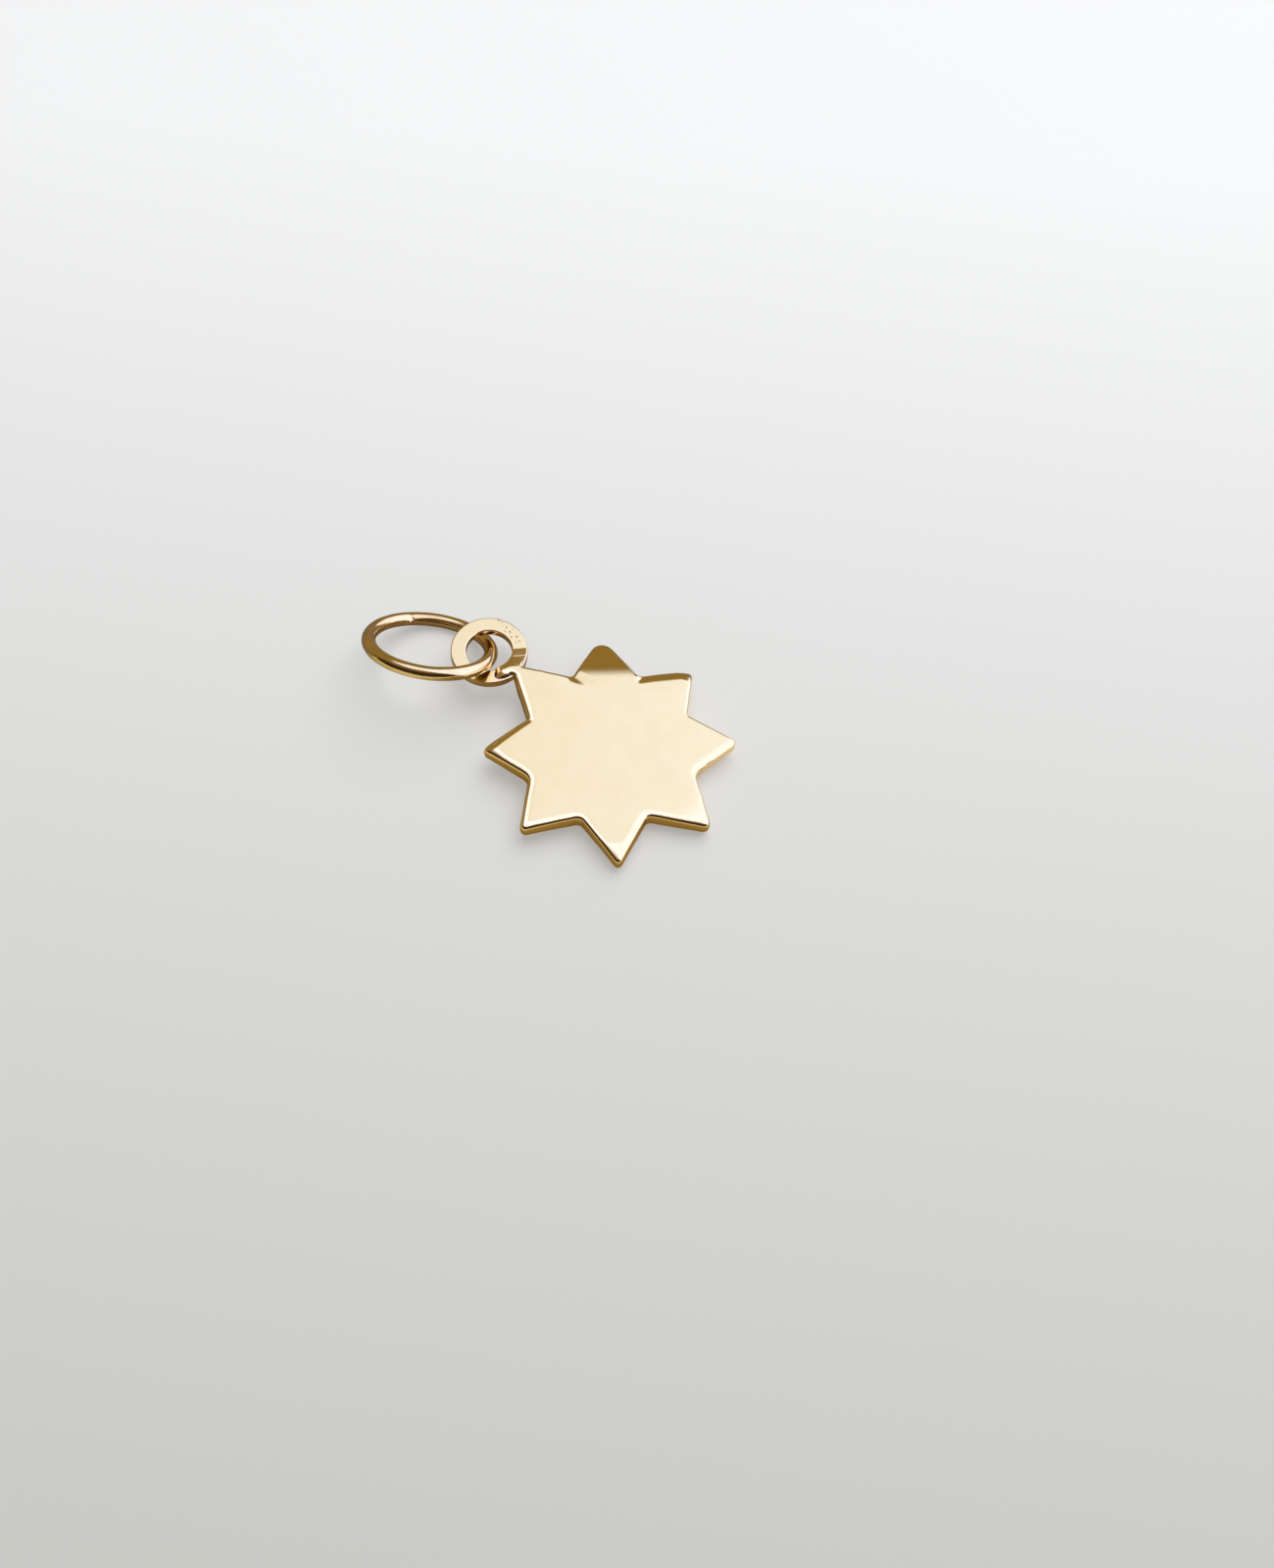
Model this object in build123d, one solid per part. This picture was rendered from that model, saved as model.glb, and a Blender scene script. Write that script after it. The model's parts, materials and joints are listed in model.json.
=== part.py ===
from build123d import *
import os
from math import acos, asin, atan2, cos, degrees, hypot, radians, sin

# A small gold sun charm with eight rays, and its soldered jump ring, lying on a surface with the plain
# side up. Sizes are in millimetres. The origin is on the surface, under the middle of the sun. +Z is up
# and +Y runs from the sun to the eye that the ring hangs in.

# The sun: a plate cut to rays, with its upper edge rolled over by polishing. Its under side is flat as
# far as the valleys, and the rays grow thinner from there to their tips.
tip_radius = 4.6
valley_radius = 3.17
tip_round = 0.24
valley_round = 0.1
plate_thickness = 0.8
tip_thinning = 0.15
edge_roll = 0.2
back_edge_roll = 0.08

# The jump ring: round wire, soldered shut. It leans with its near side high, touches the surface at its
# far side, and passes through the eye a little nearer to the sun than the middle of the hole.
ring_inner_diameter = 4.02
ring_wire_diameter = 0.51
ring_least_tilt_deg = 30.5
ring_turn_deg = 24.9
ring_off_centre = 0.09
ring_gap = 0.03

# The eye: a flat washer that laps over the end of the ray at 90 degrees, thinner than the plate and
# below its face
eye_lap = 0.24
eye_side_offset = -0.05
eye_hole_play = 1.21
eye_band = 0.57
eye_thickness = 0.33
eye_step = 0.14
eye_edge_roll = 0.05

# The neck: a pad at the plate's full height over part of the eye, filed to a flat that falls to the
# eye's face, and a ramp that thins the back up to the eye
flat_direction_deg = 49.0
flat_start = 3.58
flat_length = 0.88
pad_from_deg = -124.0
pad_to_deg = -20.0
back_ramp_length = 0.7

# How the charm lies: the ring under its eye props that end up, and the bent rays lift the +X side
eye_end_lift_deg = 3.6
side_lift_deg = 0.8

# Each ray's direction, its reach as a share of tip_radius, and how far its tip is bent down, as a share
# of plate_thickness. The ray at 90 degrees carries the eye and keeps its full thickness.
rays = [
    {"direction_deg": -45.0, "reach": 1.010, "droop": 0.17},
    {"direction_deg": -0.9, "reach": 0.990, "droop": 0.34},
    {"direction_deg": 45.5, "reach": 0.990, "droop": 0.45},
    {"direction_deg": 90.0, "reach": 1.040, "droop": 0.0},
    {"direction_deg": 135.2, "reach": 0.982, "droop": 0.07},
    {"direction_deg": 180.0, "reach": 1.003, "droop": 0.0},
    {"direction_deg": 226.0, "reach": 1.010, "droop": 0.05},
    {"direction_deg": 270.0, "reach": 1.025, "droop": 0.08},
]
ray_spacing_deg = 360 / len(rays)
first_valley_deg = rays[0]["direction_deg"] + ray_spacing_deg / 2
valley_half_width = valley_radius * sin(radians(ray_spacing_deg / 2))
valley_reach = valley_radius * cos(radians(ray_spacing_deg / 2))
bend_start = valley_reach + valley_round

eye_ray = next(ray for ray in rays if ray["direction_deg"] == 90.0)
eye_hole_radius = (ring_wire_diameter + eye_hole_play) / 2
eye_radius = eye_hole_radius + eye_band
eye_distance = tip_radius * eye_ray["reach"] + eye_radius - eye_lap
eye_centre = Vector(eye_side_offset, eye_distance)
eye_face = plate_thickness - eye_step
eye_back = eye_face - eye_thickness

wire_radius = ring_wire_diameter / 2
ring_radius = ring_inner_diameter / 2 + wire_radius


def polar(radius, direction_deg):
    return Vector(radius * cos(radians(direction_deg)), radius * sin(radians(direction_deg)))


def sun_outline():
    # Straight-sided rays between valleys. A tip's sharp corner lies further out than its stated reach,
    # so that the rounding ends there.
    corners = []
    for number, ray in enumerate(rays):
        reach = tip_radius * ray["reach"]
        half_angle = atan2(valley_half_width, reach - valley_reach)
        corner = reach + tip_round * (1 / sin(half_angle) - 1)
        corners.append(polar(corner, ray["direction_deg"]))
        corners.append(polar(valley_radius, first_valley_deg + ray_spacing_deg * number))
    outline = make_face(Polyline(*corners, close=True))
    halfway = (tip_radius + valley_radius) / 2
    tips = [corner for corner in outline.vertices() if hypot(corner.X, corner.Y) > halfway]
    outline = fillet(tips, tip_round)
    valleys = [
        corner
        for corner in outline.vertices()
        if abs(hypot(corner.X, corner.Y) - valley_radius) < valley_round / 10
    ]
    return fillet(valleys, valley_round)


def side_line(height, drop, length):
    # One line of a ray's side view: it leaves the flat level at the root and ends lower by the drop, or
    # higher where that is negative
    start = (bend_start, height)
    if drop == 0:
        return Line(start, (bend_start + 1.1 * length, height))
    radius = (length**2 + drop**2) / (2 * abs(drop))
    turn = 1.1 * degrees(asin(length / radius))
    return JernArc(start, (1, 0), radius, -turn if drop > 0 else turn)


def shape_ray(plate, outline, ray):
    # The ray's face curves down from its root by the droop, and its under side rises from that to the
    # thinner tip
    length = tip_radius * ray["reach"] - bend_start
    drop = plate_thickness * ray["droop"]
    face_line = side_line(plate_thickness, drop, length)
    back_line = side_line(0, drop - tip_thinning, length)
    root = Line(face_line @ 0, back_line @ 0)
    end = Line(face_line @ 1, back_line @ 1)
    width = 2.1 * valley_half_width
    profile = Plane.XZ * make_face([face_line, end, back_line, root])
    strip = extrude(profile, width / 2, both=True)
    past_root = Pos(bend_start + tip_radius, 0, 0) * Box(2 * tip_radius, width, 6 * plate_thickness)
    turned = Rot(0, 0, ray["direction_deg"])
    blank = extrude(outline, 2 * plate_thickness, both=True)
    return (plate - turned * past_root) + (blank & turned * past_root & turned * strip)


def rim(solid, upwards):
    # The edges round the outline of the faces that look up, or down
    def place(edge):
        middle = edge.center()
        return tuple(round(value, 4) for value in (middle.X, middle.Y, middle.Z, edge.length))

    counts = {}
    for face in solid.faces():
        if face.normal_at(face.center()).Z * upwards > 0.5:
            for edge in face.edges():
                counts[place(edge)] = counts.get(place(edge), 0) + 1
    return [edge for edge in solid.edges() if counts.get(place(edge)) == 1]


def sun_plate():
    outline = sun_outline()
    plate = extrude(outline, plate_thickness)
    for ray in rays:
        if ray is not eye_ray:
            plate = shape_ray(plate, outline, ray)
    plate = fillet(rim(plate, 1), edge_roll)
    return fillet(rim(plate, -1), back_edge_roll)


def eye_washer():
    band = Circle(eye_radius) - Circle(eye_hole_radius)
    washer = extrude(Pos(eye_centre.X, eye_centre.Y, eye_back) * band, eye_thickness)
    return fillet(washer.edges().filter_by(GeomType.CIRCLE), eye_edge_roll)


def neck_pad():
    # The part of the eye that the plate's full height covers
    reach = 2 * eye_radius
    middle_deg = (pad_from_deg + pad_to_deg) / 2
    corners = [eye_centre + polar(reach, turn) for turn in (pad_from_deg, middle_deg, pad_to_deg)]
    sector = make_face(Polyline(eye_centre, *corners, close=True))
    band = Pos(eye_centre) * (Circle(eye_radius - eye_edge_roll) - Circle(eye_hole_radius))
    height = plate_thickness - eye_back
    return Pos(0, 0, eye_back + eye_edge_roll) * extrude(sector & band, height - eye_edge_roll)


def filed_flat():
    # What the file took off: everything above a flat that falls from the face to the eye's face
    start = (flat_start, plate_thickness)
    foot = (flat_start + flat_length, eye_face)
    far = flat_start + flat_length + 2 * eye_radius
    profile = Polyline(
        start, foot, (far, eye_face), (far, 2 * plate_thickness), (flat_start, 2 * plate_thickness), close=True
    )
    slab = extrude(Plane.XZ * make_face(profile), 2 * tip_radius, both=True)
    return Rot(0, 0, flat_direction_deg) * slab


def thinned_back():
    # What is missing under the neck, so that the eye clears the surface by more than the wire
    ramp_end = eye_distance - eye_radius
    ramp_start = ramp_end - back_ramp_length
    profile = Polyline(
        (ramp_start, 0),
        (ramp_end, eye_back),
        (eye_distance, eye_back),
        (eye_distance, -plate_thickness),
        (ramp_start, -plate_thickness),
        close=True,
    )
    return extrude(Plane.YZ * make_face(profile), valley_reach, both=True)


def sun_charm():
    hole = Pos(eye_centre) * Cylinder(eye_hole_radius, 4 * plate_thickness)
    sun = (sun_plate() - thinned_back() + neck_pad()) - filed_flat() - hole
    return sun + eye_washer()


def ring_centre_and_plane(tilt_deg, crossing):
    # The wire's centre line passes through the crossing point, and its lowest point touches the surface
    turn = radians(ring_turn_deg)
    tilt = radians(tilt_deg)
    downhill = Vector(cos(tilt) * cos(turn), cos(tilt) * sin(turn), -sin(tilt))
    sideways = Vector(sin(turn), -cos(turn), 0)
    height = wire_radius + ring_radius * sin(tilt)
    angle = acos((height - crossing.Z) / (ring_radius * sin(tilt)))
    centre = crossing - (downhill * cos(angle) + sideways * sin(angle)) * ring_radius
    return centre, downhill, sideways


def gap_to_eye(tilt_deg, crossing, charm_place):
    # The smallest gap between the wire and the eye's band, from points round the wire's centre line
    centre, downhill, sideways = ring_centre_and_plane(tilt_deg, crossing)
    steps = 360
    gaps = []
    for step in range(steps):
        angle = radians(360 * step / steps)
        on_wire = centre + (downhill * cos(angle) + sideways * sin(angle)) * ring_radius
        spot = (charm_place.inverse() * Location(on_wire)).position
        from_middle = hypot(spot.X - eye_centre.X, spot.Y - eye_centre.Y)
        beside = max(eye_hole_radius - from_middle, from_middle - eye_radius, 0)
        over = max(eye_back - spot.Z, spot.Z - eye_face, 0)
        gaps.append(hypot(beside, over) - wire_radius)
    return min(gaps)


def jump_ring(charm_place):
    # The ring leans further only if its wire would touch the eye
    crossing = (
        charm_place
        * Location((eye_side_offset, eye_distance - ring_off_centre, (eye_face + eye_back) / 2))
    ).position
    tilt_deg = ring_least_tilt_deg
    while gap_to_eye(tilt_deg, crossing, charm_place) < ring_gap and tilt_deg < 80:
        tilt_deg += 1
    centre, downhill, sideways = ring_centre_and_plane(tilt_deg, crossing)
    plane = Plane(origin=centre, x_dir=downhill, z_dir=sideways.cross(downhill))
    return plane * Torus(ring_radius, wire_radius)


charm = Rot(eye_end_lift_deg, 0, 0) * Rot(0, -side_lift_deg, 0) * sun_charm()
stand = Pos(0, 0, -charm.bounding_box().min.Z)
charm_place = stand * Rot(eye_end_lift_deg, 0, 0) * Rot(0, -side_lift_deg, 0)

os.makedirs("parts", exist_ok=True)
export_step(stand * charm, "parts/sun_charm.step")
export_step(jump_ring(charm_place), "parts/jump_ring.step")
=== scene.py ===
# A small gold sun charm and its soldered jump ring, lying on a pale surface with the plain side up.

import json
from math import atan2, cos, degrees, hypot, radians, sin, tan

import bmesh
import bpy
from mathutils import Matrix, Vector, noise
from mathutils.kdtree import KDTree


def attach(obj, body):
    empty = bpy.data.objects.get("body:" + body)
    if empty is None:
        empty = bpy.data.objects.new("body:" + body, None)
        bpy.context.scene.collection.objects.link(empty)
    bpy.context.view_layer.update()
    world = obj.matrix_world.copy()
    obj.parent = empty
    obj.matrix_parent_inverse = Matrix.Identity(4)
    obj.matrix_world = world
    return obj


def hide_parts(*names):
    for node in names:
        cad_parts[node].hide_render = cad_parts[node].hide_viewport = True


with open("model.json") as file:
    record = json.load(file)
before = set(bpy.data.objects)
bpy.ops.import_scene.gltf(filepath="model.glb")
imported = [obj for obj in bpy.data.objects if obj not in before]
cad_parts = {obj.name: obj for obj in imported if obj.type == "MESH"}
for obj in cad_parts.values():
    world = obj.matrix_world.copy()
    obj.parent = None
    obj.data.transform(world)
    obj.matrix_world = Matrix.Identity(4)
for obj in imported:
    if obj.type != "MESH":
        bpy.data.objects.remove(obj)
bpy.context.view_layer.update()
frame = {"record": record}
mm = 0.001


# The camera
# It looks down on the charm from the side away from the eye, turned a little about its own line of sight,
# as close as the picture was taken. The picture is 1300 by 1600 pixels.
camera_azimuth_deg = -51.975
camera_elevation_deg = 59.764
camera_roll_deg = -3.665
camera_distance = 57.656 * mm
camera_right = 1.0552 * mm
camera_up = -0.9513 * mm
picture_height = 36.0
lens = 36.0

azimuth = radians(camera_azimuth_deg)
elevation = radians(camera_elevation_deg)
roll = radians(camera_roll_deg)
backwards = Vector((sin(azimuth) * cos(elevation), -cos(azimuth) * cos(elevation), sin(elevation)))
level = Vector((0, 0, 1)).cross(backwards).normalized()
steep = backwards.cross(level)
rightwards = level * cos(roll) - steep * sin(roll)
upwards = level * sin(roll) + steep * cos(roll)
bpy.ops.object.camera_add()
camera = bpy.context.object
camera.name = "camera"
place = rightwards * camera_right + upwards * camera_up + backwards * camera_distance
camera_turn = Matrix((rightwards, upwards, backwards)).transposed().to_4x4()
camera.matrix_world = Matrix.Translation(place) @ camera_turn
camera.data.sensor_fit = "VERTICAL"
camera.data.sensor_height = picture_height
camera.data.lens = lens
camera.data.clip_start = 1 * mm
camera.data.clip_end = 10
bpy.context.scene.camera = camera


# The sun plate
# Cast or stamped 14 karat gold, polished all over: a flat plate with eight pointed rays, whose edges the
# polishing wheel has rolled over. Wear has bent some of the tips down and left the edges a little uneven.
tip_radius = 4.6
valley_radius = 3.17
tip_round = 0.24
valley_round = 0.1
plate_thickness = 0.8
tip_thinning = 0.10
back_flat_radius = 1.9
edge_roll = 0.13
far_roll_stretch = 1.2
near_roll_stretch = 2.7
edge_crown = 0.33
edge_crown_slope = 0.28
back_edge_roll = 0.2
back_rise = 0.08
back_roll_stretch = 1.8
bend_start = 3.03
grid_spacing = 0.05
grid_shift = 0.37
same_spot = 0.00001
side_points = 15
side_point_spacing = 0.1
edge_unevenness = 0.012
edge_wave_scale = 1.9
polish_waves = 0.0016
polish_wave_scale = 0.9
tip_segments = 14
valley_segments = 10
roll_segments = 16
crease_deg = 8.0
# Each ray's direction, its reach as a share of tip_radius, how much rounder its tip is than tip_round, how
# far its tip is bent down as a share of plate_thickness, how far along the ray the bend starts, and how
# gradual it is, from 0 for a fold to 1 for an even curve
rays = [
    {"direction_deg": -45.0, "reach": 1.000, "blunt": 1.0, "droop": 0.0, "bend_from": 0.0, "gradual": 1.0},
    {"direction_deg": -1.6, "reach": 0.973, "blunt": 0.7, "droop": 0.26, "bend_from": 0.62, "gradual": 0.8},
    {"direction_deg": 45.5, "reach": 0.985, "blunt": 2.4, "droop": 0.50, "bend_from": -0.42, "gradual": 1.2},
    {"direction_deg": 90.0, "reach": 1.040, "blunt": 1.0, "droop": 0.0, "bend_from": 0.0, "gradual": 1.0},
    {"direction_deg": 135.2, "reach": 0.982, "blunt": 1.0, "droop": 0.07, "bend_from": 0.5, "gradual": 1.0},
    {"direction_deg": 180.0, "reach": 1.003, "blunt": 1.0, "droop": 0.02, "bend_from": 0.5, "gradual": 1.0},
    {"direction_deg": 226.0, "reach": 1.010, "blunt": 1.0, "droop": 0.12, "bend_from": 0.52, "gradual": 0.15},
    {"direction_deg": 270.0, "reach": 1.025, "blunt": 1.0, "droop": 0.04, "bend_from": 0.4, "gradual": 1.0},
]
# How much the face falls away along each ray's clockwise side, and along its other side, from 0 to 1
crowned_sides = [
    (0.35, 0.0),
    (0.05, 0.0),
    (0.0, 0.0),
    (0.0, 0.75),
    (0.0, 1.0),
    (0.5, 1.0),
    (0.5, 0.75),
    (1.0, 0.05),
]
# The valley that follows each ray: its place as a share of valley_radius, and how much rounder it is than
# valley_round
valleys = [
    {"reach": 1.0, "blunt": 1.0},
    {"reach": 1.0, "blunt": 1.5},
    {"reach": 1.0, "blunt": 1.5},
    {"reach": 1.0, "blunt": 1.0},
    {"reach": 1.015, "blunt": 2.0},
    {"reach": 1.0, "blunt": 1.5},
    {"reach": 1.0, "blunt": 1.5},
    {"reach": 1.035, "blunt": 2.5},
]
eye_ray = rays[3]
ray_spacing_deg = 360 / len(rays)
first_valley_deg = rays[0]["direction_deg"] + ray_spacing_deg / 2
valley_half_width = valley_radius * sin(radians(ray_spacing_deg / 2))
valley_reach = valley_radius * cos(radians(ray_spacing_deg / 2))

# The eye's sizes, which the plate's neck is shaped to
eye_lap = 0.24
eye_side_offset = -0.05
eye_hole_radius = 0.86
eye_band = 0.57
eye_thickness = 0.33
eye_step = 0.14
eye_radius = eye_hole_radius + eye_band
eye_centre = Vector((eye_side_offset, tip_radius * eye_ray["reach"] + eye_radius - eye_lap, 0))
eye_face = plate_thickness - eye_step
eye_back = eye_face - eye_thickness


def polar(radius, direction_deg, height=0.0):
    return Vector((radius * cos(radians(direction_deg)), radius * sin(radians(direction_deg)), height))


def edit(piece):
    # All else is let go first, because an operator acts on everything that is selected
    bpy.ops.object.select_all(action="DESELECT")
    piece.select_set(True)
    bpy.context.view_layer.objects.active = piece
    bpy.ops.object.mode_set(mode="EDIT")
    bpy.ops.mesh.select_mode(type="VERT")


def pick(kind, test):
    # Selects the points, edges or faces of the piece being edited that pass the test
    bpy.ops.mesh.select_mode(type={"verts": "VERT", "edges": "EDGE", "faces": "FACE"}[kind])
    mesh = bmesh.from_edit_mesh(bpy.context.object.data)
    for part in (*mesh.faces, *mesh.edges, *mesh.verts):
        part.select = False
    for part in getattr(mesh, kind):
        if test(part):
            part.select_set(True)
    mesh.select_flush_mode()
    bmesh.update_edit_mesh(bpy.context.object.data)


def pick_nearest(*spots):
    # Selects the point nearest to each spot
    mesh = bmesh.from_edit_mesh(bpy.context.object.data)
    found = [min(mesh.verts, key=lambda point: (point.co - spot).length).index for spot in spots]
    pick("verts", lambda point: point.index in found)


def move(x=0.0, y=0.0, z=0.0):
    bpy.ops.transform.translate(value=(x, y, z))


def finish_with(piece, kind, **settings):
    # Adds a modifier to the piece and applies it
    bpy.ops.object.select_all(action="DESELECT")
    piece.select_set(True)
    bpy.context.view_layer.objects.active = piece
    modifier = piece.modifiers.new(kind.title(), kind)
    for name, value in settings.items():
        setattr(modifier, name, value)
    bpy.ops.object.modifier_apply(modifier=modifier.name)


def join_with(piece, other, operation):
    # Joins another closed piece to this one, or cuts it away, and deletes the other
    finish_with(piece, "BOOLEAN", object=other, operation=operation, solver="MANIFOLD")
    bpy.data.objects.remove(other, do_unlink=True)


def add_outline(name, sides, radius, place):
    bpy.ops.object.select_all(action="DESELECT")
    bpy.ops.mesh.primitive_circle_add(vertices=sides, radius=radius, fill_type="NGON", location=place)
    piece = bpy.context.object
    piece.name = name
    bpy.ops.object.transform_apply(location=True, rotation=True, scale=True)
    return piece


def round_corner(spot, size, segments):
    pick_nearest(spot)
    bpy.ops.mesh.bevel(affect="VERTICES", offset_type="OFFSET", offset=size, segments=segments, profile=0.5)


def thicken():
    # Draws the flat outline down to a closed plate
    bpy.ops.mesh.select_all(action="SELECT")
    bpy.ops.mesh.extrude_region_move(TRANSFORM_OT_translate={"value": (0, 0, -plate_thickness)})
    bpy.ops.mesh.select_all(action="SELECT")
    bpy.ops.mesh.normals_make_consistent(inside=False)
    bpy.ops.object.mode_set(mode="OBJECT")


charm = add_outline("polished_sun", 2 * len(rays), valley_radius, (0, 0, plate_thickness))
edit(charm)
for number, (ray, valley) in enumerate(zip(rays, valleys)):
    reach = tip_radius * ray["reach"]
    ray["half_angle"] = atan2(valley_half_width, reach - valley_reach)
    ray["round"] = tip_round * ray["blunt"]
    ray["corner"] = polar(
        reach + ray["round"] * (1 / sin(ray["half_angle"]) - 1), ray["direction_deg"], plate_thickness
    )
    valley["direction_deg"] = ray_spacing_deg * (number + 0.5) + rays[0]["direction_deg"]
    valley["corner"] = polar(valley_radius * valley["reach"], valley["direction_deg"], plate_thickness)
    undrawn = polar(valley_radius, ray_spacing_deg * number + rays[0]["direction_deg"], plate_thickness)
    pick_nearest(undrawn)
    move(*(ray["corner"] - undrawn))
    undrawn = polar(valley_radius, valley["direction_deg"], plate_thickness)
    pick_nearest(undrawn)
    move(*(valley["corner"] - undrawn))

for ray in rays:
    round_corner(ray["corner"], ray["round"] / tan(ray["half_angle"]), tip_segments)
for valley in valleys:
    round_corner(valley["corner"], valley_round * valley["blunt"], valley_segments)

# Filing by hand has left no side of a ray quite straight
pick("edges", lambda edge: edge.calc_length() > side_point_spacing * 3)
bpy.ops.mesh.subdivide(number_cuts=side_points)
mesh = bmesh.from_edit_mesh(charm.data)
for point in mesh.verts:
    outward = point.co.normalized() * edge_unevenness * noise.noise(point.co * edge_wave_scale)
    point.co += Vector((outward.x, outward.y, 0))
# Each nick or bulge in the edge has its place, how far it shifts the edge, and its width
nicks = [
    {"place": (1.93, -3.14), "shift": (-0.050, 0.035), "width": 0.12},
    {"place": (0.70, -3.81), "shift": (0.040, 0.010), "width": 0.16},
    {"place": (-3.0, 2.65), "shift": (-0.020, -0.025), "width": 0.12},
    {"place": (0.55, 3.90), "shift": (0.030, 0.0), "width": 0.20},
]
for nick in nicks:
    middle = Vector((*nick["place"], plate_thickness))
    for point in mesh.verts:
        nearness = max(1 - ((point.co - middle).length / nick["width"]) ** 2, 0)
        point.co += Vector((*nick["shift"], 0)) * nearness**2
bmesh.update_edit_mesh(charm.data)
thicken()

# The pad: the plate's full height goes on round one side of the eye
pad_from_deg = -138.0
pad_to_deg = -20.0
pad_radius = eye_radius - 0.05
pad_hole_radius = eye_hole_radius + 0.004
eye_sides = 120


def around_eye(spot):
    return degrees(atan2(spot.y - eye_centre.y, spot.x - eye_centre.x))


def from_eye(spot):
    return hypot(spot.x - eye_centre.x, spot.y - eye_centre.y)


def off_the_pad(face):
    middle = face.calc_center_median()
    return from_eye(middle) < pad_hole_radius / 2 or not pad_from_deg < around_eye(middle) < pad_to_deg


pad = add_outline("pad", eye_sides, pad_radius, (eye_centre.x, eye_centre.y, plate_thickness))
edit(pad)
bpy.ops.mesh.select_all(action="SELECT")
bpy.ops.mesh.inset(thickness=pad_radius - pad_hole_radius)
pick("faces", off_the_pad)
bpy.ops.mesh.delete(type="FACE")
thicken()
join_with(charm, pad, "UNION")

# The corner where the ray's side runs into the pad is rounded, and then the rims are rolled over
neck_round = 0.13
neck_corner_deg = 25
outline_spacing = 0.012
pad_crown_to_deg = -75


def is_neck_corner(edge):
    middle = (edge.verts[0].co + edge.verts[1].co) / 2
    upright = abs(edge.verts[0].co.z - edge.verts[1].co.z) > plate_thickness / 2
    inward = upright and not edge.is_convex and abs(from_eye(middle) - pad_radius) < 0.05
    return inward and edge.calc_face_angle(0) > radians(neck_corner_deg)


def rim_of(level, side):
    # The edges round the upper or under face, apart from the eye's hole
    def test(edge):
        flat = [face for face in edge.link_faces if face.normal.z * side > 0.99]
        middle = (edge.verts[0].co + edge.verts[1].co) / 2
        left_sharp = pad_radius + 0.01 if side < 0 else (pad_radius + pad_hole_radius) / 2
        return len(flat) == 1 and abs(middle.z - level) < 0.001 and from_eye(middle) > left_sharp

    return test


def roll_over(offset, segments):
    bpy.ops.mesh.bevel(
        affect="EDGES",
        offset_type="OFFSET",
        offset=offset,
        segments=segments,
        profile=0.5,
        clamp_overlap=False,
    )


edit(charm)
bpy.ops.mesh.select_all(action="SELECT")
bpy.ops.mesh.remove_doubles(threshold=0.0005)
for side in (1, -1):
    pick("faces", lambda face: face.normal.z * side > 0.99)
    bpy.ops.mesh.dissolve_faces()
pick("edges", is_neck_corner)
mesh = bmesh.from_edit_mesh(charm.data)
neck_corners = [point.co.copy() for point in mesh.verts if point.select]


def beside_a_corner(edge):
    upright = abs(edge.verts[0].co.z - edge.verts[1].co.z) > plate_thickness / 2
    spot = edge.verts[0].co
    apart = min(hypot(spot.x - corner.x, spot.y - corner.y) for corner in neck_corners)
    return upright and 0.001 < apart < 1.3 * neck_round


pick("edges", beside_a_corner)
bpy.ops.mesh.dissolve_edges(use_verts=True)
pick("edges", is_neck_corner)
roll_over(neck_round, valley_segments)

# The outline is kept as a field of points, to find how far a place is from the edge, and how much the edge
# there is crowned
outline = KDTree(40000)
mesh = bmesh.from_edit_mesh(charm.data)
crowned = []


def crowned_share(spot):
    if from_eye(spot) < pad_radius + 0.02:
        return 1.0 if around_eye(spot) < pad_crown_to_deg else 0.0
    turn = degrees(atan2(spot.y, spot.x)) - first_valley_deg
    number = int(turn % 360 // ray_spacing_deg)
    past = turn % ray_spacing_deg - ray_spacing_deg / 2
    return crowned_sides[(number + 1) % len(rays)][past > 0]


for edge in mesh.edges:
    ends = [point.co for point in edge.verts]
    on_top = min(end.z for end in ends) > plate_thickness - 0.001
    if on_top and len([face for face in edge.link_faces if face.normal.z > 0.99]) == 1:
        steps = max(int(edge.calc_length() / outline_spacing), 1)
        for step in range(steps):
            spot = ends[0].lerp(ends[1], step / steps)
            if from_eye(spot) > pad_hole_radius + 0.02:
                outline.insert((spot.x, spot.y, 0), len(crowned))
                crowned.append(crowned_share(spot))
outline.balance()


pick("edges", rim_of(plate_thickness, 1))
roll_over(edge_roll, roll_segments)
pick("edges", rim_of(0, -1))
roll_over(back_edge_roll, roll_segments)


# The flat faces are cut into a fine grid, so that they can be bent and worn as smoothly as metal is
for side in (1, -1):
    pick("faces", lambda face: face.normal.z * side > 0.999)
    bpy.ops.mesh.hide(unselected=True)
    for across in (Vector((1, 0, 0)), Vector((0, 1, 0))):
        lines = int(1.7 * tip_radius / grid_spacing)
        for line in range(-lines, lines + 1):
            bpy.ops.mesh.select_all(action="SELECT")
            cut_at = across * (line + grid_shift) * grid_spacing
            bpy.ops.mesh.bisect(plane_co=cut_at, plane_no=across, threshold=same_spot)
    bpy.ops.mesh.reveal(select=False)

# The neck: two flats filed down towards the eye's face and the hole, the first of them in two strokes with
# a faint ridge between. Each has its direction, and how far its surface has fallen at distances from the
# middle of the sun
flats = [
    {
        "direction_deg": 49.0,
        "along": (3.60, 4.08, 4.11, 4.14, 4.46),
        "fall": (0.0, 0.080, 0.078, 0.092, 0.142),
    },
    {"direction_deg": 71.0, "along": (4.56, 5.30), "fall": (0.0, 0.148)},
]
neck_from = 4.0


def near_eye(spot):
    return spot.y > neck_from and abs(spot.x) < 2 * eye_radius


for flat in flats:
    across = polar(1, flat["direction_deg"])
    for along in flat["along"]:
        pick("faces", lambda face: near_eye(face.calc_center_median()))
        bpy.ops.mesh.bisect(plane_co=across * along, plane_no=across, threshold=same_spot)


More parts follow.
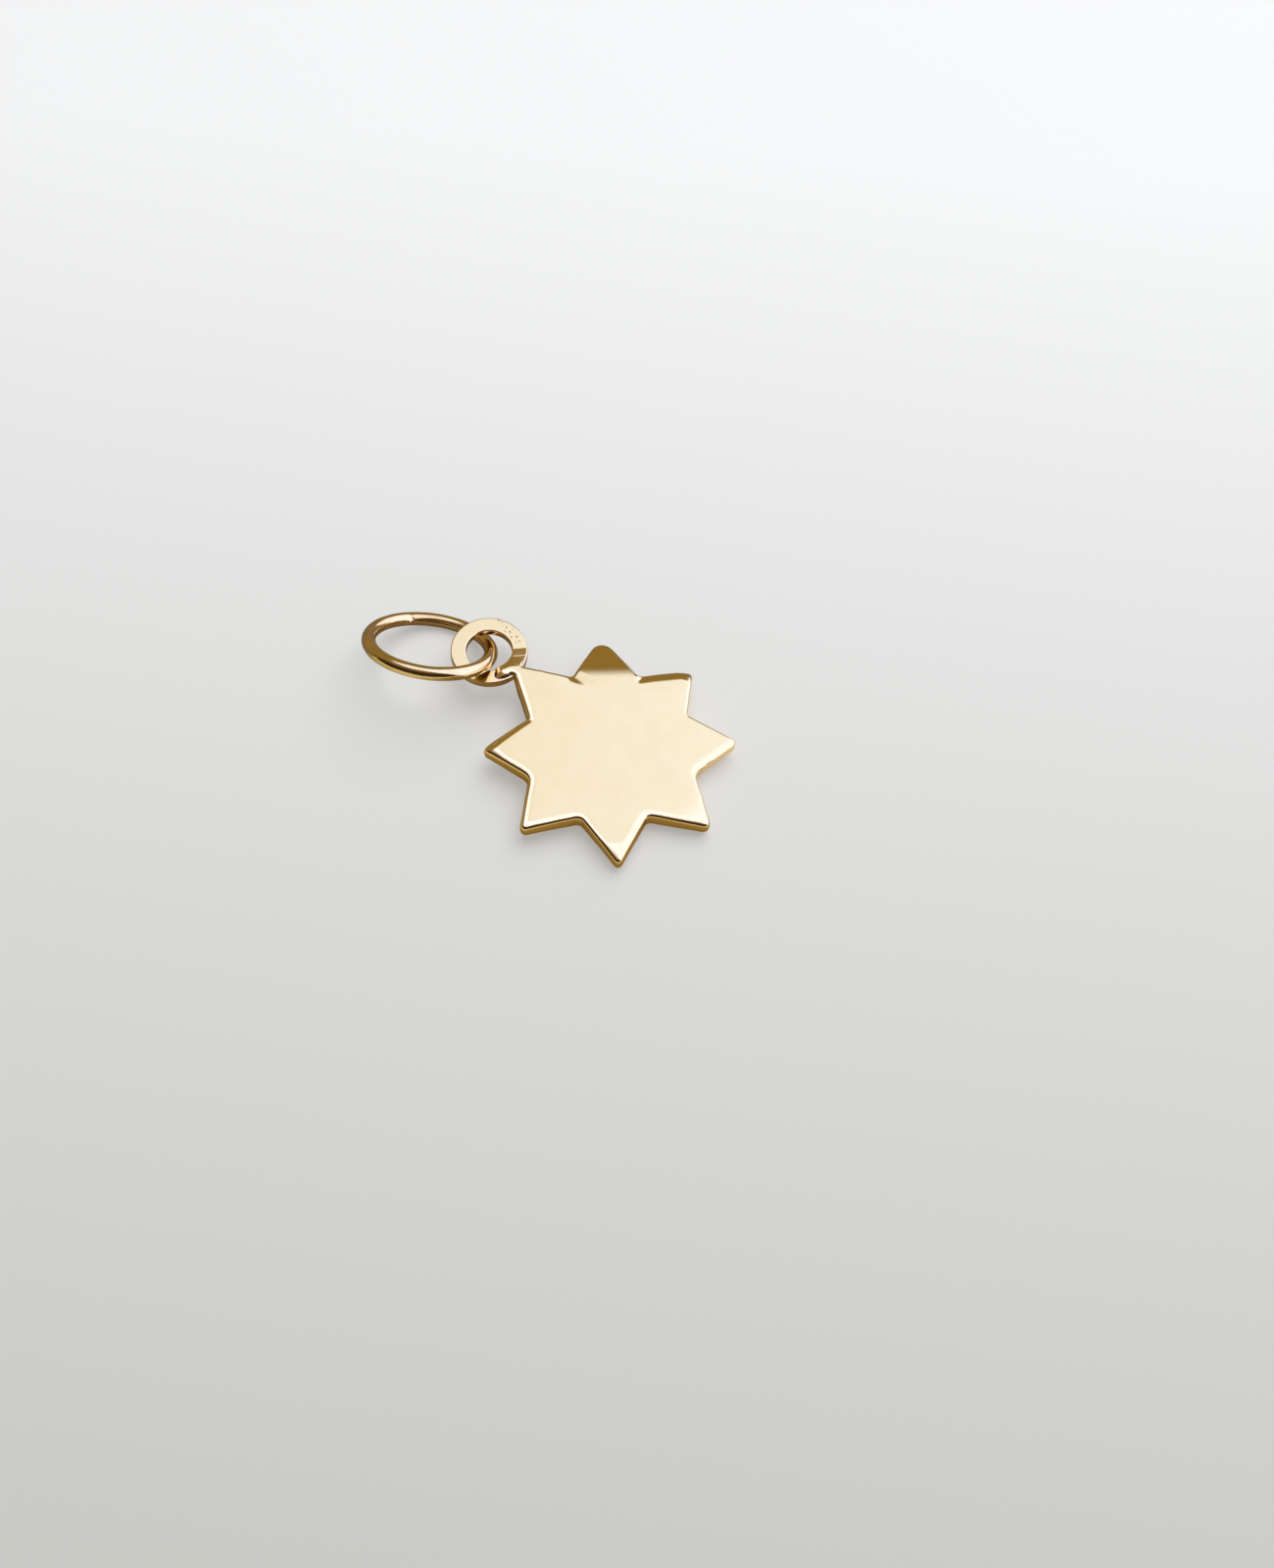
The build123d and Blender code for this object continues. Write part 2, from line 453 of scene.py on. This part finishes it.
def filed_height(spot):
    # The height that the file has left at this place
    height = plate_thickness
    for flat in flats:
        along = spot.dot(polar(1, flat["direction_deg"]))
        stops = list(zip(flat["along"], flat["fall"]))
        for (near, near_fall), (far, far_fall) in zip(stops, stops[1:]):
            if along > near and (along <= far or far == flat["along"][-1]):
                fall = near_fall + (far_fall - near_fall) * (along - near) / (far - near)
                height = min(height, plate_thickness - fall)
    return height


def smooth_step(share):
    share = min(max(share, 0.0), 1.0)
    return share * share * (3 - 2 * share)


bend_fade = 0.5


def fall_of(ray, spot):
    # How far the bend has lowered this ray here: even at first, and then straight, and fading out beside it
    reach = tip_radius * ray["reach"]
    outward = polar(1, ray["direction_deg"])
    along = spot.dot(outward)
    start = bend_start + (reach - bend_start) * ray["bend_from"]
    share = (along - start) / (reach - start)
    if share <= 0:
        return 0.0
    across = hypot(spot.x - along * outward.x, spot.y - along * outward.y)
    beside = 1 - smooth_step((across - valley_half_width) / (bend_fade * valley_half_width))
    curve = ray["gradual"]
    bent = (hypot(share, curve) - curve) / (hypot(1, curve) - curve)
    return plate_thickness * ray["droop"] * bent * beside


# Two rays are worn down along their far sides, more and more steeply towards the edge. The wear fades out
# just past the valley beside it
wear_curve = 1.5
wear_reach_deg = ray_spacing_deg / 2 + 2
wear_fade_deg = 5
worn_sides = [
    {"ray": 1, "side": 1, "width": 0.48, "depth": 0.11},
    {"ray": 4, "side": -1, "width": 0.40, "depth": 0.13},
]
for worn in worn_sides:
    ray = rays[worn["ray"]]
    worn["normal"] = polar(1, ray["direction_deg"] + worn["side"] * (90 - degrees(ray["half_angle"])))
    worn["edge"] = worn["normal"].dot(ray["corner"])


def wear_at(spot):
    wear = 0.0
    for worn in worn_sides:
        ray = rays[worn["ray"]]
        outward = polar(1, ray["direction_deg"])
        along = spot.dot(outward)
        across = hypot(spot.x - along * outward.x, spot.y - along * outward.y)
        line = worn["edge"] - worn["width"]
        share = (spot.dot(worn["normal"]) - line) / worn["width"]
        turned = degrees(atan2(across, along))
        if share > 0 and along > 0 and turned < wear_reach_deg:
            beside = smooth_step((wear_reach_deg - turned) / wear_fade_deg)
            wear += worn["depth"] * share**wear_curve * beside
    return wear


crown_points = 50
crown_evening = 0.04


def share_crowned(spot):
    near = outline.find_n(spot, crown_points)
    return sum(crowned[found[1]] for found in near) / len(near)


def crown_at(spot):
    # Polishing has let the face fall away towards its edge, ever steeper, before the edge itself rolls over
    if outline.find(spot)[2] > 1.3 * edge_crown:
        return 0.0
    curved = edge_crown - edge_roll
    falls = []
    for around in (0, 60, 120, 180, 240, 300):
        nearby = spot + polar(crown_evening, around)
        into = max(edge_crown - outline.find(nearby)[2], 0)
        fall = edge_crown_slope * min(into, curved) ** 2 / (2 * curved)
        falls.append(fall + edge_crown_slope * max(into - curved, 0))
    return share_crowned(spot) * sum(falls) / len(falls)


# A shallow crease runs into the face from the root of the most bent ray
crease_from = Vector((1.26, 2.86, 0))
crease_to = Vector((1.50, 1.75, 0))
crease_width = 0.32
crease_depth = 0.030


def crease_at(spot):
    length = (crease_to - crease_from).length
    along = (spot - crease_from).dot(crease_to - crease_from) / length
    nearest = crease_from.lerp(crease_to, min(max(along / length, 0), 1))
    sides = max(1 - ((spot - nearest).length / crease_width) ** 2, 0)
    return crease_depth * sides**2 * (1 - smooth_step(along / length))


# The back is thinned towards the tips, and under the neck it is filed away up to the back of the eye
back_ramp_length = 0.7
ramp_end = eye_centre.y - eye_radius
pad_back = eye_back + 0.02
pad_sink_from_deg = -104.0
pad_sink = 1.25 * eye_step


def back_height(spot):
    if spot.y > ramp_end - back_ramp_length and abs(spot.x) < valley_half_width:
        return pad_back * min((spot.y - ramp_end + back_ramp_length) / back_ramp_length, 1)
    radius = hypot(spot.x, spot.y)
    thinned = tip_thinning * smooth_step((radius - bend_start) / (tip_radius - bend_start))
    return thinned + back_rise * smooth_step((radius - back_flat_radius) / (valley_reach - back_flat_radius))


def pad_sink_at(spot):
    # The far end of the pad sinks into the eye's face
    turn = around_eye(spot)
    if from_eye(spot) > pad_radius + 0.05 or not -175 < turn < pad_sink_from_deg:
        return 0.0
    return pad_sink * smooth_step((pad_sink_from_deg - turn) / (pad_sink_from_deg - pad_from_deg))


def stretched(depth, spot):
    # Where it is crowned, the rim rolls over long and slowly on its way down, and short across. The rim of
    # the back does so all round
    from_back = plate_thickness - depth
    if from_back < back_edge_roll:
        return plate_thickness - from_back * back_roll_stretch
    if depth < 0.0005:
        return depth
    stretch = far_roll_stretch + (near_roll_stretch - far_roll_stretch) * share_crowned(spot)
    if depth < edge_roll:
        return depth * stretch
    rolled = edge_roll * stretch
    left = plate_thickness - back_edge_roll * back_roll_stretch - rolled
    return rolled + left * (depth - edge_roll) / (plate_thickness - back_edge_roll - edge_roll)


mesh = bmesh.from_edit_mesh(charm.data)
for point in mesh.verts:
    spot = Vector((point.co.x, point.co.y, 0))
    level = plate_thickness - stretched(plate_thickness - point.co.z, spot)
    share_up = level / plate_thickness
    height = level + back_height(spot) * (1 - share_up)
    if near_eye(spot):
        height = min(height, filed_height(spot)) - pad_sink_at(spot) * share_up
    height -= (wear_at(spot) + crown_at(spot) + crease_at(spot)) * share_up
    height -= sum(fall_of(ray, spot) for ray in rays if ray["droop"])
    height += polish_waves * noise.noise(point.co * polish_wave_scale) * share_up
    point.co.z = height
bmesh.update_edit_mesh(charm.data)
bpy.ops.object.mode_set(mode="OBJECT")


# The eye
# A flat washer of the same gold, soldered over the end of the ray, thinner than the plate and below its
# face, with hand-rounded rims.
eye_edge_roll = 0.05
eye_roll_segments = 13

washer = add_outline("washer", eye_sides, eye_radius, (eye_centre.x, eye_centre.y, eye_face))
edit(washer)
bpy.ops.mesh.select_all(action="SELECT")
bpy.ops.mesh.inset(thickness=eye_band)
pick("faces", lambda face: from_eye(face.calc_center_median()) < eye_hole_radius / 2)
bpy.ops.mesh.delete(type="FACE")
bpy.ops.mesh.select_all(action="SELECT")
bpy.ops.mesh.extrude_region_move(TRANSFORM_OT_translate={"value": (0, 0, -eye_thickness)})
bpy.ops.mesh.select_all(action="SELECT")
bpy.ops.mesh.normals_make_consistent(inside=False)
pick("edges", lambda edge: edge.calc_face_angle(0) > radians(60))
bpy.ops.mesh.bevel(
    affect="EDGES", offset_type="OFFSET", offset=eye_edge_roll, segments=eye_roll_segments, profile=0.5
)
bpy.ops.object.mode_set(mode="OBJECT")
join_with(charm, washer, "UNION")

# A few small punch marks near the rim of the eye, each with its place and the radius of the punch, whose
# middle stays above the face
punch_lift = 0.6
punch_marks = [
    (1.13, 6.62, 0.05),
    (1.17, 6.47, 0.04),
    (1.11, 6.20, 0.05),
    (0.94, 6.11, 0.04),
    (1.04, 5.96, 0.06),
    (1.20, 5.98, 0.04),
    (0.92, 5.77, 0.05),
    (1.07, 5.64, 0.06),
    (0.88, 5.49, 0.04),
    (1.00, 5.43, 0.05),
]
for x, y, punch_radius in punch_marks:
    bpy.ops.object.select_all(action="DESELECT")
    bpy.ops.mesh.primitive_ico_sphere_add(
        subdivisions=3, radius=punch_radius, location=(x, y, eye_face + punch_lift * punch_radius)
    )
    punch = bpy.context.object
    bpy.ops.object.transform_apply(location=True, rotation=True, scale=True)
    join_with(charm, punch, "DIFFERENCE")

# The charm lies with its eye propped up on the ring and its bent side a little raised
back_mount = next(mount for mount in frame["record"]["mounts"] if mount["name"] == "back")
back_normal = Vector(back_mount["axis"]) * -1
eye_end_lift = atan2(-back_normal.y, back_normal.z)
side_lift = atan2(-back_normal.x, hypot(back_normal.y, back_normal.z))


def settle(piece, place):
    # Takes the piece from millimetres to metres and puts it in its place, with its object at the origin
    bpy.ops.object.select_all(action="DESELECT")
    piece.select_set(True)
    bpy.context.view_layer.objects.active = piece
    piece.matrix_world = place @ Matrix.Scale(mm, 4)
    bpy.ops.object.transform_apply(location=True, rotation=True, scale=True)


edit(charm)
bpy.ops.mesh.select_all(action="SELECT")
bpy.ops.mesh.remove_doubles(threshold=same_spot)
bpy.ops.object.mode_set(mode="OBJECT")
bpy.ops.object.shade_smooth_by_angle(angle=radians(crease_deg))
finish_with(charm, "WEIGHTED_NORMAL", mode="FACE_AREA", keep_sharp=True)
lying = Matrix.Rotation(eye_end_lift, 4, "X") @ Matrix.Rotation(-side_lift, 4, "Y")
settle(charm, Matrix.Translation(back_mount["pos_m"]) @ lying)
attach(charm, "root")
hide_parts("sun_charm")


def linear(hex_colour):
    # A screen colour as the shader wants it
    parts = [int(hex_colour[start : start + 2], 16) / 255 for start in (1, 3, 5)]
    return (*[part / 12.92 if part <= 0.04045 else ((part + 0.055) / 1.055) ** 2.4 for part in parts], 1.0)


def add_node(tree, kind, inputs=None, **settings):
    # Adds one node. An input is given a value, or another node's output to be linked to
    node = tree.nodes.new(kind)
    for name, value in settings.items():
        setattr(node, name, value)
    for name, value in (inputs or {}).items():
        if isinstance(value, bpy.types.NodeSocket):
            tree.links.new(value, node.inputs[name])
        else:
            node.inputs[name].default_value = value
    return node


def worn_gold(name, light_colour, dark_colour, least_roughness, unevenness):
    # Gold with faint smears, and hairline scratches that run one way. Real hairlines are under a hundredth
    # of a millimetre wide and are drawn coarser, so that they show
    smear_width = 0.9 * mm
    scratch_turn = 0.6
    scratch_length = 0.8 * mm
    scratch_thinness = 14
    scratch_roughness = 0.08
    smear_roughness = 0.04
    grain_width = 0.16 * mm
    material = bpy.data.materials.new(name)
    material.use_nodes = True
    tree = material.node_tree
    shader = tree.nodes["Principled BSDF"]
    shader.inputs["Metallic"].default_value = 1.0
    place = add_node(tree, "ShaderNodeTexCoord").outputs["Object"]
    clouds = add_node(
        tree, "ShaderNodeTexNoise", {"Vector": place, "Scale": 1 / smear_width, "Detail": 4.0}
    ).outputs["Fac"]
    smear = add_node(
        tree, "ShaderNodeMapRange", {"Value": clouds, "From Min": 0.35, "From Max": 0.7}
    ).outputs["Result"]
    colour = add_node(
        tree,
        "ShaderNodeMix",
        {"Factor": smear, "A": linear(light_colour), "B": linear(dark_colour)},
        data_type="RGBA",
    ).outputs["Result"]
    tree.links.new(colour, shader.inputs["Base Color"])
    along = add_node(
        tree,
        "ShaderNodeMapping",
        {"Vector": place, "Rotation": (0, 0, scratch_turn), "Scale": (1, scratch_thinness, 1)},
    ).outputs["Vector"]
    lines = add_node(
        tree, "ShaderNodeTexNoise", {"Vector": along, "Scale": 1 / scratch_length, "Detail": 2.0}
    ).outputs["Fac"]
    scratches = add_node(
        tree,
        "ShaderNodeMapRange",
        {"Value": lines, "From Min": 0.62, "From Max": 0.72, "To Min": 0.0, "To Max": scratch_roughness},
    ).outputs["Result"]
    dulled = add_node(
        tree, "ShaderNodeMath", {0: smear, 1: smear_roughness, 2: least_roughness}, operation="MULTIPLY_ADD"
    ).outputs[0]
    roughness = add_node(tree, "ShaderNodeMath", {0: dulled, 1: scratches}, operation="ADD").outputs[0]
    tree.links.new(roughness, shader.inputs["Roughness"])
    grain = add_node(
        tree, "ShaderNodeTexNoise", {"Vector": place, "Scale": 1 / grain_width, "Detail": 3.0}
    ).outputs["Fac"]
    uneven = add_node(
        tree, "ShaderNodeBump", {"Height": grain, "Distance": unevenness, "Strength": 1.0}
    ).outputs["Normal"]
    tree.links.new(uneven, shader.inputs["Normal"])
    return material


# 14 karat yellow gold, buffed on a wheel, which mirrors the room almost as sharply as glass does
charm_gold = worn_gold("polished_yellow_gold", "#f8dda8", "#f6daa2", 0.04, 0.0005 * mm)
charm.data.materials.clear()
charm.data.materials.append(charm_gold)


# The jump ring
# Round gold wire, wound, closed and soldered shut, of a slightly redder alloy than the charm. It hangs in
# the eye, leans on it and touches the surface at its far side.
ring_inner_diameter = 4.02
ring_wire_diameter = 0.51
ring_sides = 320
wire_sides = 56
wire_unevenness = 0.006
wire_wave_scale = 1.6
wire_ripple_scale = 6
wire_ripple_share = 0.3
# The solder, drops beside it, pits and a dent: how far round the ring each lies, how far round the wire, its
# width, and how far it stands up, or down where that is negative
ring_marks = [
    {"around_deg": 42.0, "wire_deg": 190.0, "width": 0.17, "height": 0.050},
    {"around_deg": 47.0, "wire_deg": 205.0, "width": 0.10, "height": 0.030},
    {"around_deg": 37.5, "wire_deg": 130.0, "width": 0.13, "height": 0.025},
    {"around_deg": 74.0, "wire_deg": 204.0, "width": 0.05, "height": -0.040},
    {"around_deg": 82.0, "wire_deg": 196.0, "width": 0.04, "height": -0.030},
    {"around_deg": 62.0, "wire_deg": 200.0, "width": 0.05, "height": -0.025},
    {"around_deg": 232.0, "wire_deg": 44.0, "width": 0.04, "height": -0.012},
    {"around_deg": 233.5, "wire_deg": 90.0, "width": 0.04, "height": -0.012},
    {"around_deg": 148.0, "wire_deg": 10.0, "width": 0.10, "height": -0.012},
]

ring_mount = next(mount for mount in frame["record"]["mounts"] if mount["name"] == "chain_ring")
ring_axis = Vector(ring_mount["axis"]).normalized()
downhill = (ring_axis * ring_axis.z - Vector((0, 0, 1))).normalized()
ring_radius = (ring_inner_diameter + ring_wire_diameter) / 2
wire_radius = ring_wire_diameter / 2
bpy.ops.object.select_all(action="DESELECT")
bpy.ops.mesh.primitive_torus_add(
    major_segments=ring_sides, minor_segments=wire_sides, major_radius=ring_radius, minor_radius=wire_radius
)
ring = bpy.context.object
ring.name = "soldered_jump_ring"


def on_ring(around_deg, wire_deg):
    # The place on the wire's surface that far round the ring and round the wire
    out = polar(cos(radians(wire_deg)), around_deg, sin(radians(wire_deg)))
    return polar(ring_radius, around_deg) + out * wire_radius


# The wire is a little uneven along its length, and is marked where it was closed and soldered
edit(ring)
mesh = bmesh.from_edit_mesh(ring.data)
for mark in ring_marks:
    mark["spot"] = on_ring(mark["around_deg"], mark["wire_deg"])
for point in mesh.verts:
    middle = polar(ring_radius, degrees(atan2(point.co.y, point.co.x)))
    out = (point.co - middle).normalized()
    swell = wire_unevenness * noise.noise(point.co * wire_wave_scale)
    swell += wire_ripple_share * wire_unevenness * noise.noise(point.co * wire_ripple_scale)
    for mark in ring_marks:
        apart = (point.co - mark["spot"]).length / mark["width"]
        swell += mark["height"] * (1 - smooth_step(apart))
    point.co += out * swell
bmesh.update_edit_mesh(ring.data)
bpy.ops.object.mode_set(mode="OBJECT")
turned = Matrix((downhill, ring_axis.cross(downhill), ring_axis)).transposed().to_4x4()
settle(ring, Matrix.Translation(ring_mount["pos_m"]) @ turned)
bpy.ops.object.shade_smooth()
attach(ring, "root")
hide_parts("jump_ring")
# Gold wire, drawn through a die and only lightly polished, which mirrors the room a little more softly
wire_gold = worn_gold("drawn_gold_wire", "#f3daa2", "#e4c387", 0.07, 0.0008 * mm)
ring.data.materials.clear()
ring.data.materials.append(wire_gold)


# The surface
# A sheet of matt white card under the charm, painted a little darker towards the near side as painted shade
# where the light falls off. It shows the metal warmer and darker tones than it shows the camera, as painted
# shade and painted light.
floor_size = 2.0
far_direction_deg = 38.0
card_far = 34.0 * mm
card_near = -30.0 * mm
painted_card_glow = 0.45
# How far from the charm the painted shade in what the metal mirrors reaches, and where it has faded out
close_radius = 5.3 * mm
off_radius = 8.0 * mm
right_strength = 0.75

bpy.ops.object.select_all(action="DESELECT")
bpy.ops.mesh.primitive_plane_add(size=floor_size)
floor = bpy.context.object
floor.name = "white_surface"


def white_card():
    material = bpy.data.materials.new("white_card")
    material.use_nodes = True
    tree = material.node_tree
    shader = tree.nodes["Principled BSDF"]
    place = add_node(tree, "ShaderNodeTexCoord").outputs["Object"]
    along = add_node(
        tree, "ShaderNodeMapping", {"Vector": place, "Rotation": (0, 0, -radians(far_direction_deg))}
    ).outputs["Vector"]
    axes = add_node(tree, "ShaderNodeSeparateXYZ", {"Vector": along})
    # The card's colour runs darker towards the near side, a painted shade where the light falls off
    share = add_node(
        tree,
        "ShaderNodeMapRange",
        {"Value": axes.outputs["X"], "From Min": card_near, "From Max": card_far},
    ).outputs["Result"]
    colour = add_node(
        tree,
        "ShaderNodeMix",
        {"Factor": share, "A": linear("#c3c3be"), "B": linear("#e9eaeb")},
        data_type="RGBA",
    ).outputs["Result"]
    # What the metal mirrors of the card is painted: painted shade close to the charm, pale further off on the
    # near side, painted shade, dim, on the far side, and painted light, palest, on the right
    away = add_node(tree, "ShaderNodeVectorMath", {0: place}, operation="LENGTH").outputs["Value"]
    outside = add_node(
        tree, "ShaderNodeMapRange", {"Value": away, "From Min": close_radius, "From Max": off_radius}
    ).outputs["Result"]
    painted_near_shade_tone = add_node(
        tree,
        "ShaderNodeMix",
        {"Factor": outside, "A": linear("#8f7843"), "B": linear("#d2caa6")},
        data_type="RGBA",
    ).outputs["Result"]
    on_near_side = add_node(
        tree, "ShaderNodeMapRange", {"Value": axes.outputs["X"], "From Min": 4 * mm, "From Max": -1 * mm}
    ).outputs["Result"]
    shade = add_node(
        tree,
        "ShaderNodeMix",
        {"Factor": on_near_side, "A": linear("#77644c"), "B": painted_near_shade_tone},
        data_type="RGBA",
    ).outputs["Result"]
    turn = add_node(
        tree, "ShaderNodeMath", {0: axes.outputs["Y"], 1: axes.outputs["X"]}, operation="ARCTAN2"
    ).outputs[0]
    on_the_right = add_node(
        tree, "ShaderNodeMapRange", {"Value": turn, "From Min": radians(-114), "From Max": radians(-98)}
    ).outputs["Result"]
    not_far = add_node(
        tree, "ShaderNodeMapRange", {"Value": turn, "From Min": radians(-30), "From Max": radians(-45)}
    ).outputs["Result"]
    right_share = add_node(
        tree, "ShaderNodeMath", {0: on_the_right, 1: not_far}, operation="MULTIPLY"
    ).outputs[0]
    right_share = add_node(
        tree, "ShaderNodeMath", {0: right_share, 1: right_strength}, operation="MULTIPLY"
    ).outputs[0]
    shade = add_node(
        tree,
        "ShaderNodeMix",
        {"Factor": right_share, "A": shade, "B": linear("#e2dfd6")},
        data_type="RGBA",
    ).outputs["Result"]
    # Only rays mirrored by the metal see the painted shade and painted light; the camera sees the card's
    # plain colour
    mirrored = add_node(tree, "ShaderNodeLightPath").outputs["Is Glossy Ray"]
    seen = add_node(
        tree, "ShaderNodeMix", {"Factor": mirrored, "A": colour, "B": shade}, data_type="RGBA"
    ).outputs["Result"]
    tree.links.new(seen, shader.inputs["Base Color"])
    # The card glows with its own colour, a painted light that keeps its shadows pale
    tree.links.new(seen, shader.inputs["Emission Color"])
    shader.inputs["Emission Strength"].default_value = painted_card_glow
    shader.inputs["Roughness"].default_value = 0.8
    return material


floor.data.materials.append(white_card())


# The light
# A soft studio room that the metal mirrors, with plain even light for all else and one soft key light.
# Overhead is pale and greyish, which the flat face mirrors. Past it the ceiling is as bright as a window,
# and lower down the room darkens. The far wall is dark too, and the whole right side is a bright window.
wall_top_far = 47.0
window_direction = -71.0
window_half_width = 51.0
window_edge = 7.0
grey_direction = (0.42, -0.07, 0.905)
near_wall_light = (0.04, 0.028, 0.015, 1)
near_shade = (0.28, 0.19, 0.11, 1)
far_wall_light = (0.28, 0.20, 0.065, 1)
sky_left = (0.93, 0.98, 1.15, 1)
sky_right = (1.04, 1.22, 1.75, 1)
window_light = (1.25, 1.40, 2.25, 1)
even_light = (0.29, 0.29, 0.287, 1)
key_direction = -30.0
key_height = 62.0
key_distance = 0.25
key_size = 0.30
key_power = 0.335
key_colour = (1.0, 0.995, 0.985)

world = bpy.data.worlds.new("room")
bpy.context.scene.world = world
world.use_nodes = True
room = world.node_tree
room.nodes.clear()
direction = add_node(room, "ShaderNodeTexCoord").outputs["Generated"]
facing = add_node(
    room,
    "ShaderNodeMapping",
    {"Vector": direction, "Rotation": (0, 0, -radians(far_direction_deg))},
    vector_type="POINT",
).outputs["Vector"]
axes = add_node(room, "ShaderNodeSeparateXYZ", {"Vector": facing})


# The height over the horizon, the angle round from the middle of the window, and the angle from the pale part
# of the ceiling that the flat face mirrors
height = add_node(room, "ShaderNodeMath", {0: axes.outputs["Z"]}, operation="ARCSINE").outputs[0]
height_deg = add_node(room, "ShaderNodeMath", {0: height}, operation="DEGREES").outputs[0]
around = add_node(
    room, "ShaderNodeMath", {0: axes.outputs["Y"], 1: axes.outputs["X"]}, operation="ARCTAN2"
).outputs[0]
around_deg = add_node(room, "ShaderNodeMath", {0: around}, operation="DEGREES").outputs[0]
off_window = add_node(
    room, "ShaderNodeMath", {0: around_deg, 1: window_direction}, operation="SUBTRACT"
).outputs[0]
window_side = add_node(room, "ShaderNodeMath", {0: off_window}, operation="ABSOLUTE").outputs[0]
nearness = add_node(
    room, "ShaderNodeVectorMath", {0: facing, 1: grey_direction}, operation="DOT_PRODUCT"
).outputs["Value"]
from_grey = add_node(room, "ShaderNodeMath", {0: nearness}, operation="ARCCOSINE").outputs[0]
from_grey_deg = add_node(room, "ShaderNodeMath", {0: from_grey}, operation="DEGREES").outputs[0]

# Each part of the room is laid over those before it, where all its fades allow. A fade has what it follows,
# where it starts and ends, and its first and last level. The parts are the left of the ceiling, its bright
# band, which stops before the far side, the shade past it, the wall behind the camera, the far wall, and the
# window
wall_top_edge = 5
room_parts = [
    {"light": sky_left, "fades": [(axes.outputs["Y"], -0.2, 0.25, 0, 1)]},
    {
        "light": window_light,
        "fades": [(from_grey_deg, 9, 14, 0, 1), (axes.outputs["X"], 0.43, 0.53, 1, 0)],
    },
    {"light": near_shade, "fades": [(from_grey_deg, 22, 36, 0, 1)]},
    {"light": near_wall_light, "fades": [(from_grey_deg, 42, 70, 0, 1)]},
    {
        "light": far_wall_light,
        "fades": [
            (height_deg, wall_top_far - wall_top_edge, wall_top_far + wall_top_edge, 1, 0),
            (axes.outputs["X"], -0.1, 0.25, 0, 1),
        ],
    },
    {
        "light": window_light,
        "fades": [(window_side, window_half_width - window_edge, window_half_width + window_edge, 1, 0)],
    },
]
lit_room = sky_right
for part in room_parts:
    share = 1.0
    for follows, starts, ends, first, last in part["fades"]:
        level = add_node(
            room,
            "ShaderNodeMapRange",
            {"Value": follows, "From Min": starts, "From Max": ends, "To Min": first, "To Max": last},
            interpolation_type="SMOOTHSTEP",
        ).outputs["Result"]
        share = add_node(room, "ShaderNodeMath", {0: level, 1: share}, operation="MULTIPLY").outputs[0]
    lit_room = add_node(
        room, "ShaderNodeMix", {"Factor": share, "A": lit_room, "B": part["light"]}, data_type="RGBA"
    ).outputs["Result"]
mirrored = add_node(room, "ShaderNodeBackground", {"Color": lit_room, "Strength": 1.0})
even = add_node(room, "ShaderNodeBackground", {"Color": even_light, "Strength": 1.0})
backdrop = add_node(room, "ShaderNodeBackground", {"Color": linear("#dfe0e0"), "Strength": 1.0})
rays_path = add_node(room, "ShaderNodeLightPath")
unseen = add_node(
    room,
    "ShaderNodeMixShader",
    {0: rays_path.outputs["Is Glossy Ray"], 1: even.outputs["Background"], 2: mirrored.outputs["Background"]},
)
mixed = add_node(
    room,
    "ShaderNodeMixShader",
    {0: rays_path.outputs["Is Camera Ray"], 1: unseen.outputs["Shader"], 2: backdrop.outputs["Background"]},
)
add_node(room, "ShaderNodeOutputWorld", {"Surface": mixed.outputs["Shader"]})

bpy.ops.object.light_add(type="AREA")
key = bpy.context.object
key.name = "soft_key"
key.data.shape = "DISK"
key.data.size = key_size
key.data.energy = key_power
key.data.color = key_colour
key.visible_glossy = False
key_round = radians(far_direction_deg + key_direction)
key_up = radians(key_height)
towards_key = Vector((cos(key_round) * cos(key_up), sin(key_round) * cos(key_up), sin(key_up)))
key_turn = towards_key.to_track_quat("Z", "Y").to_matrix().to_4x4()
key.matrix_world = Matrix.Translation(towards_key * key_distance) @ key_turn
bpy.context.scene.view_settings.view_transform = "Standard"
